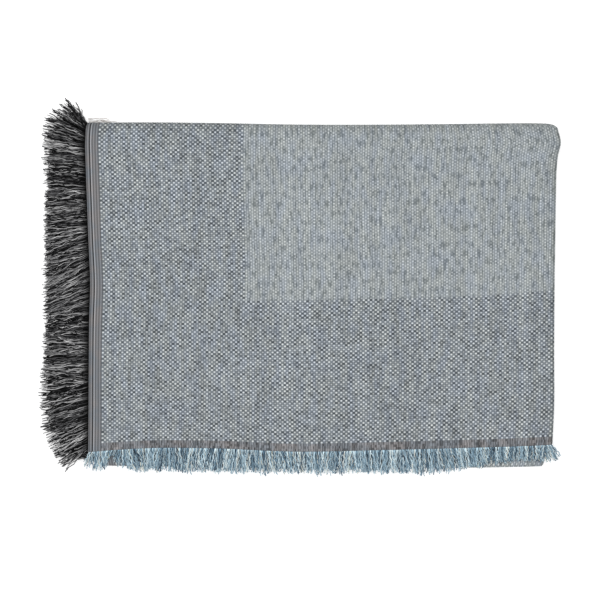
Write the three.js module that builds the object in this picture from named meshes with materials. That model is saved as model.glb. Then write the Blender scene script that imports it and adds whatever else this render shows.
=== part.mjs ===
// A folded woven throw: one fringed sheet, folded in half across its width and then
// in half twice along its length, lying flat with its fringed ends uppermost.
// Millimetres, +Z up, +Y towards the back folds, +X towards the fold across the width.
import * as THREE from "three";

// The flat blanket
const BLANKET_WIDTH = 1400;
const BLANKET_LENGTH = 2000;
const CLOTH_THICKNESS = 2.2;

// The air left between the two plies of the doubled cloth, and between its doubled layers
const PLY_GAP = 0.6;
const LAYER_GAP = 0.8;

// Front to back size of the folded throw at its fringed ends, and how far the front fold juts past them
const FOLDED_DEPTH = 488;
const FRONT_FOLD_JUT = 28.8;

// Fringes: locks of yarn fused into a narrow strip that lies just off the cloth's edge
const STRIP_WIDTH = 3;
const STRIP_THICKNESS = 1.4;
const STRIP_CLEARANCE = 0.6;
const SIDE_LOCK_PITCH = 26;
const SIDE_LOCK_WIDTH = 9;
const SIDE_LOCK_SEGMENTS = 3;
const END_LOCK_PITCH = 26;
const END_LOCK_WIDTH = 10;
const END_LOCK_SEGMENTS = 2;
const END_FRINGE_REACH = 30;
// A lock's width and thickness at its tip, as shares of those at its root
const LOCK_TIP_WIDTH = 0.6;
const LOCK_TIP_THICKNESS = 0.8;
// Share of its height over the lowest lock that a lock has lost at its tip
const SIDE_SAG = 0.4;
const END_SAG = 0.42;

// Sizes that follow from these
const FOLDED_WIDTH = BLANKET_WIDTH / 2;
const DOUBLED = 2 * CLOTH_THICKNESS + PLY_GAP;
const PLY_OFFSET = (CLOTH_THICKNESS + PLY_GAP) / 2;
const LAYER_PITCH = DOUBLED + LAYER_GAP;
const TIGHT_RADIUS = LAYER_PITCH / 2;
const WIDE_RADIUS = 3 * TIGHT_RADIUS;
const STACK_MIDDLE = DOUBLED / 2 + WIDE_RADIUS;
const BACK_CENTRE = FOLDED_DEPTH / 2 - WIDE_RADIUS - DOUBLED / 2;
const END_LINE = -FOLDED_DEPTH / 2;
const TOP_HEIGHT = STACK_MIDDLE + WIDE_RADIUS;
const SECOND_HEIGHT = STACK_MIDDLE + TIGHT_RADIUS;
const THIRD_HEIGHT = STACK_MIDDLE - TIGHT_RADIUS;
const FLOOR_HEIGHT = STACK_MIDDLE - WIDE_RADIUS;
const FRONT_TURN_HEIGHT = STACK_MIDDLE - 2 * TIGHT_RADIUS;
const FRONT_CENTRE = END_LINE - FRONT_FOLD_JUT + TIGHT_RADIUS + DOUBLED / 2;
const FIRST_RUN = BACK_CENTRE - END_LINE;
const LONG_RUN = BACK_CENTRE - FRONT_CENTRE;
const LAST_RUN = BLANKET_LENGTH - FIRST_RUN - 2 * LONG_RUN - Math.PI * (WIDE_RADIUS + 2 * TIGHT_RADIUS);

// Steps round the turns and round the side fold, and the steps of the wide turn that carry a lock
const WIDE_TURN_STEPS = 10;
const OUTER_TURN_LOCK = 1;
const INNER_TURN_LOCK = 8;
const TIGHT_TURN_STEPS = 6;
const SIDE_FOLD_STEPS = 6;

// The doubled sheet's way through the stack, from its upper end to its lower end.
// heading: +1 towards the back, -1 towards the front; bend: +1 where the sheet's face is the outside;
// side: where a turn bulges to; face, back: how the side fringes' locks are set along a run.
const LEGS = [
  { heading: 1, z: TOP_HEIGHT, from: END_LINE, length: FIRST_RUN, face: 0.1, back: 0.6 },
  { turn: WIDE_RADIUS, bend: 1, side: 1, centre: BACK_CENTRE, z: STACK_MIDDLE },
  { heading: -1, z: FLOOR_HEIGHT, from: BACK_CENTRE, length: LONG_RUN, face: 0.5, back: 0.9 },
  { turn: TIGHT_RADIUS, bend: 1, side: -1, centre: FRONT_CENTRE, z: FRONT_TURN_HEIGHT },
  { heading: 1, z: THIRD_HEIGHT, from: FRONT_CENTRE, length: LONG_RUN, face: 0.3, back: 0.8 },
  { turn: TIGHT_RADIUS, bend: -1, side: 1, centre: BACK_CENTRE, z: STACK_MIDDLE },
  { heading: -1, z: SECOND_HEIGHT, from: BACK_CENTRE, length: LAST_RUN, face: 0.7, back: 0.2 },
];

// How the hand-folded stack strays from a true rectangle, and how its side fringe lies.
// at: leg number and share of that leg; open, folded: how far the open edge and the side fold lie to
// the right of their true lines; lean: the locks' angle towards the back, degrees; reach: their length.
const EDGES = [
  { at: 0.0, open: 0, folded: -4.5, lean: -29, reach: 44 },
  { at: 0.09, open: 0.5, folded: -2.2, lean: -20, reach: 68 },
  { at: 0.28, open: 1, folded: -1.8, lean: -4, reach: 70 },
  { at: 0.4, open: 1.5, folded: -1.5, lean: -5, reach: 68 },
  { at: 0.52, open: 3, folded: -1, lean: -19, reach: 72 },
  { at: 0.65, open: 0.5, folded: 0, lean: -15, reach: 66 },
  { at: 0.76, open: -1.5, folded: 0.7, lean: 3, reach: 62 },
  { at: 0.91, open: -4, folded: 3.7, lean: 9, reach: 65 },
  { at: 0.965, open: -4.5, folded: 8, lean: 17, reach: 64 },
  { at: 1.0, open: -3.5, folded: 5, lean: 28, reach: 61 },
  { at: 1.5, open: -1.5, folded: -5, lean: 52, reach: 27 },
  { at: 2.0, open: -1, folded: 2, lean: 36, reach: 52 },
  { at: 2.1, open: 0, folded: 1, lean: 12, reach: 60 },
  { at: 2.5, open: 2, folded: -3, lean: -10, reach: 66 },
  { at: 2.8, open: 5, folded: -5, lean: 2, reach: 62 },
  { at: 2.92, open: 11, folded: -9, lean: 12, reach: 54 },
  { at: 3.0, open: 21, folded: -16, lean: 20, reach: 44 },
  { at: 3.5, open: 22, folded: -18, lean: 24, reach: 42 },
  { at: 4.0, open: 21, folded: -16, lean: 20, reach: 44 },
  { at: 4.08, open: 11, folded: -9, lean: 12, reach: 54 },
  { at: 4.2, open: 5, folded: -5, lean: 2, reach: 62 },
  { at: 4.5, open: 4, folded: -5, lean: -12, reach: 66 },
  { at: 4.9, open: 2, folded: -4, lean: 10, reach: 60 },
  { at: 5.5, open: 1, folded: -6, lean: 36, reach: 48 },
  { at: 6.1, open: 2, folded: -3, lean: 10, reach: 60 },
  { at: 6.5, open: 3, folded: -3, lean: -12, reach: 66 },
  { at: 7.0, open: 4, folded: -5, lean: -28, reach: 40 },
];

// How far each fold or end lies behind its true line, across the width.
// x: from the middle; upper, lower: the two fringed ends; back: the back turns; front: the front turn;
// lean: the end fringe's angle towards the side fold, degrees.
const LINES = [
  { x: -360, upper: -5, lower: 2, back: 2, front: 4, lean: -6 },
  { x: -280, upper: 0.7, lower: 1, back: 2.5, front: 2, lean: 4 },
  { x: -160, upper: 1.2, lower: 0, back: 1.5, front: 0, lean: -7 },
  { x: -40, upper: -3.7, lower: -1, back: -0.8, front: -2, lean: 5 },
  { x: 80, upper: -1.6, lower: 0, back: -1, front: -1, lean: -5 },
  { x: 200, upper: 1.5, lower: 1, back: 0, front: -0.5, lean: 3 },
  { x: 300, upper: 4.5, lower: 2, back: 1.2, front: 1, lean: 10 },
  { x: 360, upper: 7.5, lower: 3, back: -1, front: 3, lean: 56 },
];

// Colours and finish
const FINISHES = {
  cloth: { color: 0x9098a0, roughness: 0.95, metalness: 0 },
  charcoal: { color: 0x4a4b4d, roughness: 0.95, metalness: 0 },
  blue: { color: 0x82929b, roughness: 0.95, metalness: 0 },
};

const radians = THREE.MathUtils.degToRad;
const blend = THREE.MathUtils.lerp;

// Value of one column of a table, straight between its rows.
function lookUp(table, key, column, where) {
  const next = Math.max(1, table.findIndex((row) => row[key] >= where));
  const [low, high] = [table[next - 1], table[next]];
  return THREE.MathUtils.mapLinear(where, low[key], high[key], low[column], high[column]);
}

// Middle of the doubled sheet in its section, with its face's normal, at a leg's share.
function sectionAt(leg, share) {
  if (!leg.turn) {
    return { y: leg.from + leg.heading * leg.length * share, z: leg.z, normalY: 0, normalZ: leg.heading };
  }
  const angle = Math.PI * share;
  const above = leg.side * leg.bend;
  const outY = leg.side * Math.sin(angle);
  const outZ = above * Math.cos(angle);
  return {
    y: leg.centre + leg.turn * outY,
    z: leg.z + leg.turn * outZ,
    normalY: leg.bend * outY,
    normalZ: leg.bend * outZ,
  };
}

// How far the cloth at x is shifted towards the back: each run blends the lines it lies between.
function shiftAt(legNumber, share, x) {
  const line = (column) => lookUp(LINES, "x", column, x);
  const ends = [
    ["upper", "back"],
    ["back", "back"],
    ["back", "front"],
    ["front", "front"],
    ["front", "back"],
    ["back", "back"],
    ["back", "lower"],
  ];
  const [start, finish] = ends[legNumber];
  return blend(line(start), line(finish), share);
}

// A point of the folded blanket: place along the sheet, x, and offset along the face's normal.
function placeAt(station, x, offset) {
  const { leg, share, section } = station;
  return new THREE.Vector3(
    x,
    section.y + section.normalY * offset + shiftAt(leg, share, x),
    section.z + section.normalZ * offset,
  );
}

function stationAt(leg, share) {
  return {
    leg,
    share,
    section: sectionAt(LEGS[leg], share),
    open: -FOLDED_WIDTH / 2 + lookUp(EDGES, "at", "open", leg + share),
    folded: FOLDED_WIDTH / 2 + lookUp(EDGES, "at", "folded", leg + share),
  };
}

// Shares of a leg at which the sheet has a station: even steps round a turn, a run's own table rows.
function legShares(leg, number) {
  if (leg.turn) {
    const steps = leg.turn === WIDE_RADIUS ? WIDE_TURN_STEPS : TIGHT_TURN_STEPS;
    return Array.from({ length: steps + 1 }, (_, i) => i / steps);
  }
  const within = EDGES.map((row) => row.at - number).filter((share) => share > 0 && share < 1);
  return [0, ...within, 1];
}

// A closed geometry from points and triangles, its faces turned outward.
function meshFrom(points, triangles) {
  const volume = triangles.reduce((sum, [a, b, c]) => {
    return sum + points[a].dot(new THREE.Vector3().crossVectors(points[b], points[c]));
  }, 0);
  const outward = volume > 0 ? triangles : triangles.map(([a, b, c]) => [a, c, b]);
  const geometry = new THREE.BufferGeometry();
  geometry.setAttribute("position", new THREE.Float32BufferAttribute(points.flatMap((p) => p.toArray()), 3));
  geometry.setIndex(outward.flat());
  geometry.computeVertexNormals();
  return geometry;
}

// One side of the doubled sheet across its width, as x and offset along the face's normal: along
// the face ply, round the side fold and back along the other ply.
function doubledSide(open, folded, radius) {
  const turnX = folded - DOUBLED / 2;
  const columns = [open, ...LINES.slice(1, -1).map((row) => row.x)];
  const across = (offset) => columns.map((x) => [x, offset]);
  const round = Array.from({ length: SIDE_FOLD_STEPS + 1 }, (_, i) => {
    const angle = (Math.PI * i) / SIDE_FOLD_STEPS;
    return [turnX + radius * Math.sin(angle), radius * Math.cos(angle)];
  });
  return [...across(radius), ...round, ...across(-radius).reverse()];
}

// The woven sheet: rings of its outer and then its inner side, joined along the whole folded length.
function clothGeometry() {
  const stations = LEGS.flatMap((leg, number) =>
    legShares(leg, number)
      .slice(number === 0 ? 0 : 1)
      .map((share) => stationAt(number, share)),
  );
  const rings = stations.map((station) => {
    const outer = doubledSide(station.open, station.folded, DOUBLED / 2);
    const inner = doubledSide(station.open, station.folded, PLY_GAP / 2).reverse();
    return [...outer, ...inner].map(([x, offset]) => placeAt(station, x, offset));
  });
  const around = rings[0].length;
  const last = (rings.length - 1) * around;
  const triangles = [];
  const quad = (a, b, c, d) => triangles.push([a, b, c], [a, c, d]);
  for (let start = 0; start < last; start += around) {
    for (let i = 0; i < around; i += 1) {
      const here = start + i;
      const beside = start + ((i + 1) % around);
      quad(here, here + around, beside + around, beside);
    }
  }
  for (let i = 0; i + 1 < around / 2; i += 1) {
    const across = around - 1 - i;
    quad(i, i + 1, across - 1, across);
    quad(last + i, last + across, last + across - 1, last + i + 1);
  }
  return meshFrom(rings.flat(), triangles);
}

// A fringe: a strip through a row of sections, with a lock drawn out of its outer face wherever
// a section starts one. Each section has its four corners, and rings of a lock's corners if any.
// Corners run outer upper, outer lower, inner lower, inner upper.
function fringeGeometry(sections) {
  const points = sections.flatMap((section) => section.corners);
  const triangles = [];
  const quad = (a, b, c, d) => triangles.push([a, b, c], [a, c, d]);
  sections.slice(0, -1).forEach((section, number) => {
    const here = 4 * number;
    const next = here + 4;
    quad(here + 1, here + 2, next + 2, next + 1);
    quad(here + 2, here + 3, next + 3, next + 2);
    quad(here + 3, here, next, next + 3);
    let ring = [here, here + 1, next + 1, next];
    for (const corners of section.lock ?? []) {
      const start = points.length;
      points.push(...corners);
      const outer = corners.map((_, i) => start + i);
      ring.forEach((root, i) => {
        const after = (i + 1) % 4;
        quad(root, ring[after], outer[after], outer[i]);
      });
      ring = outer;
    }
    quad(...ring);
  });
  const last = 4 * (sections.length - 1);
  quad(0, 3, 2, 1);
  quad(last, last + 1, last + 2, last + 3);
  return meshFrom(points, triangles);
}

// Rings of a lock's corners, drawn out of its root's corners. A lock runs along a level direction and
// narrows; the lowest comes to rest on the bed's height, and the others sag towards it.
function lockRings(root, { direction, reach, width, segments, sag, lowest, bed }) {
  const [hereHigh, hereLow, , nextHigh] = root;
  const centre = root.reduce((sum, corner) => sum.add(corner), new THREE.Vector3()).divideScalar(4);
  const sideways = new THREE.Vector3(-direction.y, direction.x, 0);
  const onward = Math.sign(nextHigh.clone().sub(hereHigh).dot(sideways));
  const upward = Math.sign(hereHigh.z - hereLow.z);
  const pattern = [
    [-onward, upward],
    [-onward, -upward],
    [onward, -upward],
    [onward, upward],
  ];
  return Array.from({ length: segments }, (_, i) => {
    const share = (i + 1) / segments;
    const half = (width / 2) * blend(1, LOCK_TIP_WIDTH, share);
    const thick = (STRIP_THICKNESS / 2) * blend(1, LOCK_TIP_THICKNESS, share);
    const height = bed + thick + (centre.z - lowest) * (1 - sag * share);
    const place = centre.clone().addScaledVector(direction, reach * share).setZ(height);
    return pattern.map(([side, up]) => {
      return place.clone().addScaledVector(sideways, side * half).add(new THREE.Vector3(0, 0, up * thick));
    });
  });
}

// The outer face between two sections of a strip, from which a lock is drawn.
function lockRoot(section, next) {
  return [section.corners[0], section.corners[1], next.corners[1], next.corners[0]];
}

// Places along an edge where its strip has a section: every row of the edge's table, and both sides
// of every lock. The edge is cut into equal cells with one lock each, set forward in its cell by the
// stagger's share, and a lock that would straddle a row starts at that row.
function stripPlaces(rows, pitch, width, stagger) {
  const length = rows.at(-1) - rows[0];
  const count = Math.floor(length / pitch);
  const cell = length / count;
  const starts = Array.from({ length: count }, (_, i) => {
    const start = rows[0] + cell * i + (cell - width) * stagger;
    return rows.find((row) => row > start && row < start + width) ?? start;
  });
  const finishes = starts.map((start) => start + width);
  const places = [...new Set([...rows, ...starts, ...finishes])].sort((a, b) => a - b);
  return places.map((place) => ({ place, starts: starts.includes(place), ends: finishes.includes(place) }));
}

// Stations of a side strip along one leg, each marked if a lock starts there. The wide turn has one
// lock: the outer ply's above the turn's middle and the inner ply's below it.
function sideStations(leg, number, plyOffset) {
  const shares = legShares(leg, number);
  if (leg.turn) {
    const lockStep = plyOffset > 0 ? OUTER_TURN_LOCK : INNER_TURN_LOCK;
    return shares.slice(1, -1).map((share, i) => {
      return { ...stationAt(number, share), hasLock: leg.turn === WIDE_RADIUS && i + 1 === lockStep };
    });
  }
  const rows = shares.map((share) => share * leg.length);
  const stagger = plyOffset > 0 ? leg.face : leg.back;
  return stripPlaces(rows, SIDE_LOCK_PITCH, SIDE_LOCK_WIDTH, stagger).map(({ place, starts }) => {
    return { ...stationAt(number, place / leg.length), hasLock: starts };
  });
}

// The charcoal fringe of one long edge, which follows that edge through every fold.
function sideFringe(plyOffset) {
  const sections = LEGS.flatMap((leg, number) => sideStations(leg, number, plyOffset));
  for (const section of sections) {
    const outer = section.open - STRIP_CLEARANCE - STRIP_WIDTH;
    const inner = section.open - STRIP_CLEARANCE;
    const high = plyOffset + STRIP_THICKNESS / 2;
    const low = plyOffset - STRIP_THICKNESS / 2;
    section.corners = [
      placeAt(section, outer, high),
      placeAt(section, outer, low),
      placeAt(section, inner, low),
      placeAt(section, inner, high),
    ];
  }
  sections.forEach((section, number) => {
    if (!section.hasLock) return;
    const at = section.leg + section.share;
    const lean = radians(lookUp(EDGES, "at", "lean", at));
    section.lock = lockRings(lockRoot(section, sections[number + 1]), {
      direction: new THREE.Vector3(-Math.cos(lean), Math.sin(lean), 0),
      reach: lookUp(EDGES, "at", "reach", at),
      width: SIDE_LOCK_WIDTH,
      segments: SIDE_LOCK_SEGMENTS,
      sag: SIDE_SAG,
      lowest: FLOOR_HEIGHT - PLY_OFFSET,
      bed: 0,
    });
  });
  return fringeGeometry(sections);
}

// The short blue fringe of one end, which follows the doubled edge round the side fold.
function endFringe(legNumber, share, staggers) {
  const station = stationAt(legNumber, share);
  const turnX = station.folded - DOUBLED / 2;
  const columns = [station.open, ...LINES.slice(1, -1).map((row) => row.x), turnX];
  const [facePlaces, backPlaces] = staggers.map((stagger) => {
    return stripPlaces(columns, END_LOCK_PITCH, END_LOCK_WIDTH, stagger);
  });
  const across = [
    ...facePlaces.map(({ place, starts }) => ({ x: place, tilt: 0, hasLock: starts })),
    ...Array.from({ length: SIDE_FOLD_STEPS - 1 }, (_, i) => {
      return { x: turnX, tilt: (Math.PI * (i + 1)) / SIDE_FOLD_STEPS };
    }),
    ...backPlaces.toReversed().map(({ place, ends }) => ({ x: place, tilt: Math.PI, hasLock: ends })),
  ];
  const far = -STRIP_CLEARANCE - STRIP_WIDTH;
  const near = -STRIP_CLEARANCE;
  const outside = PLY_OFFSET + STRIP_THICKNESS / 2;
  const inside = PLY_OFFSET - STRIP_THICKNESS / 2;
  const sections = across.map((section) => {
    const corner = (radius, beyond) => {
      const x = section.x + radius * Math.sin(section.tilt);
      return placeAt(station, x, radius * Math.cos(section.tilt)).add(new THREE.Vector3(0, beyond, 0));
    };
    const corners = [corner(outside, far), corner(inside, far), corner(inside, near), corner(outside, near)];
    return { ...section, corners };
  });
  sections.forEach((section, number) => {
    if (!section.hasLock) return;
    const lean = radians(lookUp(LINES, "x", "lean", section.x));
    section.lock = lockRings(lockRoot(section, sections[number + 1]), {
      direction: new THREE.Vector3(Math.sin(lean), -Math.cos(lean), 0),
      reach: END_FRINGE_REACH,
      width: END_LOCK_WIDTH,
      segments: END_LOCK_SEGMENTS,
      sag: END_SAG,
      lowest: SECOND_HEIGHT - PLY_OFFSET,
      bed: THIRD_HEIGHT + DOUBLED / 2 + LAYER_GAP / 2,
    });
  });
  return fringeGeometry(sections);
}

function addPiece(group, name, geometry, finish) {
  const mesh = new THREE.Mesh(geometry, new THREE.MeshStandardMaterial(FINISHES[finish]));
  mesh.name = name;
  group.add(mesh);
}

const throwBlanket = new THREE.Group();
addPiece(throwBlanket, "woven_cloth", clothGeometry(), "cloth");
addPiece(throwBlanket, "side_fringe_face", sideFringe(PLY_OFFSET), "charcoal");
addPiece(throwBlanket, "side_fringe_back", sideFringe(-PLY_OFFSET), "charcoal");
addPiece(throwBlanket, "end_fringe_upper", endFringe(0, 0, [0.1, 0.6]), "blue");
addPiece(throwBlanket, "end_fringe_lower", endFringe(LEGS.length - 1, 1, [0.35, 0.85]), "blue");

// The origin is the middle of the underside of the whole throw, fringes included
const extent = new THREE.Box3().setFromObject(throwBlanket);
const middle = extent.getCenter(new THREE.Vector3());
throwBlanket.position.set(-middle.x, -middle.y, -extent.min.z);

export default throwBlanket;
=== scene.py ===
import math

import bpy
import numpy as np
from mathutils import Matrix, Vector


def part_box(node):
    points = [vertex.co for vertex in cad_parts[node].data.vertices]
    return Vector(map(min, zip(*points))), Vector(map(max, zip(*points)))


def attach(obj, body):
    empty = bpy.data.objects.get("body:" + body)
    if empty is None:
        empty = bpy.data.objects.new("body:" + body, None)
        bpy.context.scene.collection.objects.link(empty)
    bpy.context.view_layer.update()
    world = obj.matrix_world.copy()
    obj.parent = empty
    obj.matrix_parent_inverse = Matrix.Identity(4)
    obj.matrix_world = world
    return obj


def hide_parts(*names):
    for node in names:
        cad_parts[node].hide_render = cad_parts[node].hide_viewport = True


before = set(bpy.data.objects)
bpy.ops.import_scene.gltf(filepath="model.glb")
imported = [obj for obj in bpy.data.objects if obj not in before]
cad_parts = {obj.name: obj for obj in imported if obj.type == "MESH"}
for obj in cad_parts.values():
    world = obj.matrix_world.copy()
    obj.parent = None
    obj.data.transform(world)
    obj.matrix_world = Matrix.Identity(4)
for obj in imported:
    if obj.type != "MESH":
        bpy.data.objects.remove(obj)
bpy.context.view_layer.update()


# The woven cloth is one sheet of coarse plain weave, pale warp over a darker weft, with a lighter
# panel in its middle and a smooth grey heading woven along every edge. It is folded in half across
# its width, then in half twice along its length, so that both of its ends come to the front.
MM = 0.001
CLOTH_WIDTH = 1400 * MM
CLOTH_LENGTH = 2000 * MM
CLOTH_THICKNESS = 2.2 * MM
PLY_GAP = 0.6 * MM
LAYER_GAP = 0.8 * MM
FOLDED_WIDTH = CLOTH_WIDTH / 2
FOLDED_DEPTH = 488 * MM
FRONT_FOLD_JUT = 28.8 * MM

DOUBLED = 2 * CLOTH_THICKNESS + PLY_GAP
PLY_OFFSET = (CLOTH_THICKNESS + PLY_GAP) / 2
PLY_LENGTH = (CLOTH_WIDTH - math.pi * PLY_OFFSET) / 2
TIGHT_RADIUS = (DOUBLED + LAYER_GAP) / 2
WIDE_RADIUS = 3 * TIGHT_RADIUS
STACK_MIDDLE = DOUBLED / 2 + WIDE_RADIUS
BACK_CENTRE = FOLDED_DEPTH / 2 - WIDE_RADIUS - DOUBLED / 2
END_LINE = -FOLDED_DEPTH / 2
FRONT_CENTRE = END_LINE - FRONT_FOLD_JUT + TIGHT_RADIUS + DOUBLED / 2
FIRST_RUN = BACK_CENTRE - END_LINE
LONG_RUN = BACK_CENTRE - FRONT_CENTRE
TIGHT_TURN = math.pi * TIGHT_RADIUS
WIDE_TURN = math.pi * WIDE_RADIUS
LAST_RUN = CLOTH_LENGTH - FIRST_RUN - 2 * LONG_RUN - WIDE_TURN - 2 * TIGHT_TURN

# The doubled sheet's way through the stack, from its upper end to its lower end. A run has a heading,
# +1 towards the back; a turn has a radius, a bend, +1 with the face outside, and a side it bulges to.
LEGS = np.rec.fromrecords(
    [
        (FIRST_RUN, END_LINE, STACK_MIDDLE + WIDE_RADIUS, 1, 0, 0, 0),
        (WIDE_TURN, BACK_CENTRE, STACK_MIDDLE, 0, WIDE_RADIUS, 1, 1),
        (LONG_RUN, BACK_CENTRE, STACK_MIDDLE - WIDE_RADIUS, -1, 0, 0, 0),
        (TIGHT_TURN, FRONT_CENTRE, STACK_MIDDLE - 2 * TIGHT_RADIUS, 0, TIGHT_RADIUS, 1, -1),
        (LONG_RUN, FRONT_CENTRE, STACK_MIDDLE - TIGHT_RADIUS, 1, 0, 0, 0),
        (TIGHT_TURN, BACK_CENTRE, STACK_MIDDLE, 0, TIGHT_RADIUS, -1, 1),
        (LAST_RUN, BACK_CENTRE, STACK_MIDDLE + TIGHT_RADIUS, -1, 0, 0, 0),
    ],
    names="length,y,z,heading,radius,bend,side",
)
LEG_STARTS = np.concatenate([[0], np.cumsum(LEGS.length)])

# How the hand-folded stack strays from a true rectangle, and how its side fringe lies, in millimetres
# and degrees. at: leg number and share of that leg; open, folded: how far the open edge and the side
# fold lie to the right of their true lines; lean: the fringe's angle towards the back; reach: its length.
EDGES = np.rec.fromrecords(
    [
        (0.0, 0, -4.5, -29, 44),
        (0.035, 0.2, -3.6, -25, 57),
        (0.09, 0.5, -2.2, -20, 68),
        (0.28, 1, -1.8, -4, 70),
        (0.4, 1.5, -1.5, -5, 68),
        (0.52, 3, -1, -19, 72),
        (0.65, 0.5, 0, -15, 66),
        (0.76, -1.5, 0.7, 3, 62),
        (0.91, -4, 3.7, 9, 65),
        (0.965, -4.5, 8, 17, 64),
        (1.0, -3.5, 4.5, 28, 61),
        (1.2, -2.8, 3, 46, 52),
        (1.36, -2, -3, 50, 36),
        (1.5, -1.5, -9, 52, 27),
        (2.0, -1, 2, 36, 52),
        (2.1, 0, 1, 12, 60),
        (2.5, 2, -3, -10, 66),
        (2.8, 5, -5, 2, 62),
        (2.92, 11, -9, 12, 54),
        (3.0, 21, -16, 20, 44),
        (3.5, 22, -18, 24, 42),
        (4.0, 21, -16, 20, 44),
        (4.08, 11, -9, 12, 54),
        (4.2, 5, -5, 2, 62),
        (4.5, 4, -5, -12, 66),
        (4.9, 2, -4, 10, 60),
        (5.5, 1, -6, 36, 48),
        (6.1, 2, -3, 10, 60),
        (6.5, 3, -3, -12, 66),
        (6.93, 3.8, -4.6, -24, 56),
        (7.0, 4, -5, -28, 40),
    ],
    names="at,open,folded,lean,reach",
)

# How far each fold, end or woven line lies behind its true line across the width, in millimetres.
# x: from the middle; upper, lower: the two ends; panel: the light panel's front line; back, front:
# the turns; lean, reach: the end fringe's angle towards the side fold, in degrees, and its length.
LINES = np.rec.fromrecords(
    [
        (-360, -5, 0, 2, 2, 4, -44, 17),
        (-345, -4, 0, 2, 2.1, 3.5, -22, 25),
        (-330, -2.8, 0, 2, 2.2, 3, -4, 30),
        (-321, -2.1, 0, 1.6, 2.3, 2.6, -10, 24),
        (-310, -1.3, 0, 1.4, 2.4, 2.4, -30, 8),
        (-300, -0.6, 0, 1.2, 2.4, 2.2, 4, 27),
        (-280, 0.7, 0, 1, 2.5, 2, 7, 31),
        (-160, 1.2, 0, 0, 1.5, 0, -5, 34),
        (-40, -3.7, 0.5, -1, -0.8, -2, 4, 33),
        (80, -1.6, 3, 0, -1, -1, -4, 35),
        (200, 1.5, 6.5, 1, 0, -0.5, 4, 33),
        (265, 3.2, 9.5, 1.5, 0.8, 0.2, 6, 23),
        (335, 6, 15, 2.5, 0.6, 2, 12, 22),
        (360, 7.5, 17, 3, -1, 3, 60, 24),
    ],
    names="x,upper,panel,lower,back,front,lean,reach",
)

# The sheet's woven plan: headings and borders by their distance from the edges, and the yarns' pitch.
SIDE_HEADING = 19.5 * MM
END_HEADING = 11.5 * MM
SIDE_BORDER = 234 * MM
END_BORDER = 222 * MM
BORDER_WARPS = 59
PANEL_WARPS = 126
BORDER_PICKS = 70
BORDER_WARP = (SIDE_BORDER - SIDE_HEADING) / BORDER_WARPS
PANEL_WARP = (PLY_LENGTH - SIDE_BORDER) / PANEL_WARPS
BORDER_PICK = (END_BORDER - END_HEADING) / BORDER_PICKS
PANEL_PICK = 2.35 * MM
DARK_LINE = 6.4 * MM
PALE_LINE = 8.3 * MM
SIDE_RIB = 4.2 * MM
PANEL_SHARE = END_BORDER / FIRST_RUN

# The cloth's own unevenness: how far its yarns wander sideways, and how far the top run swells.
YARN_WANDER = 0.3 * MM
TOP_SWELL = 0.45 * MM


def smooth(places, values, where):
    """A smooth curve through the rows of a table, level beyond its ends."""
    slopes = np.gradient(values, places)
    below = np.clip(np.searchsorted(places, where) - 1, 0, len(places) - 2)
    gap = places[below + 1] - places[below]
    share = np.clip((where - places[below]) / gap, 0, 1)
    rest = 1 - share
    ends = values[below] * rest**2 * (1 + 2 * share) + values[below + 1] * share**2 * (1 + 2 * rest)
    return ends + gap * share * rest * (slopes[below] * rest - slopes[below + 1] * share)


def leg_and_share(b):
    """The leg of the fold at a distance along the sheet, and the share of that leg."""
    leg = np.clip(np.searchsorted(LEG_STARTS, b, side="right") - 1, 0, len(LEGS) - 1)
    return leg, (b - LEG_STARTS[leg]) / LEGS.length[leg]


EDGE_LEGS = np.minimum(EDGES.at.astype(int), len(LEGS) - 1)
EDGE_PLACES = LEG_STARTS[EDGE_LEGS] + (EDGES.at - EDGE_LEGS) * LEGS.length[EDGE_LEGS]
node_low, node_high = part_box("woven_cloth")
STACK_X = node_high.x - FOLDED_WIDTH / 2 - EDGES.folded.max() * MM
STACK_Y = node_high.y - FOLDED_DEPTH / 2 - LINES.back.max() * MM


def fold_line_shift(leg, share, x):
    """How far the sheet at x is shifted towards the back: a run blends the lines it lies between."""
    upper, panel, lower, back, front = (
        smooth(LINES.x * MM, LINES[name] * MM, x) for name in ("upper", "panel", "lower", "back", "front")
    )
    start = np.choose(leg, [upper, back, back, front, front, back, back])
    finish = np.choose(leg, [back, back, front, front, back, back, lower])
    blended = start + (finish - start) * share
    on_panel = upper + (back - upper) * PANEL_SHARE
    bow = share * (1 - share) / (PANEL_SHARE * (1 - PANEL_SHARE))
    return blended + np.where(leg == 0, (panel - on_panel) * bow, 0)


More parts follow.
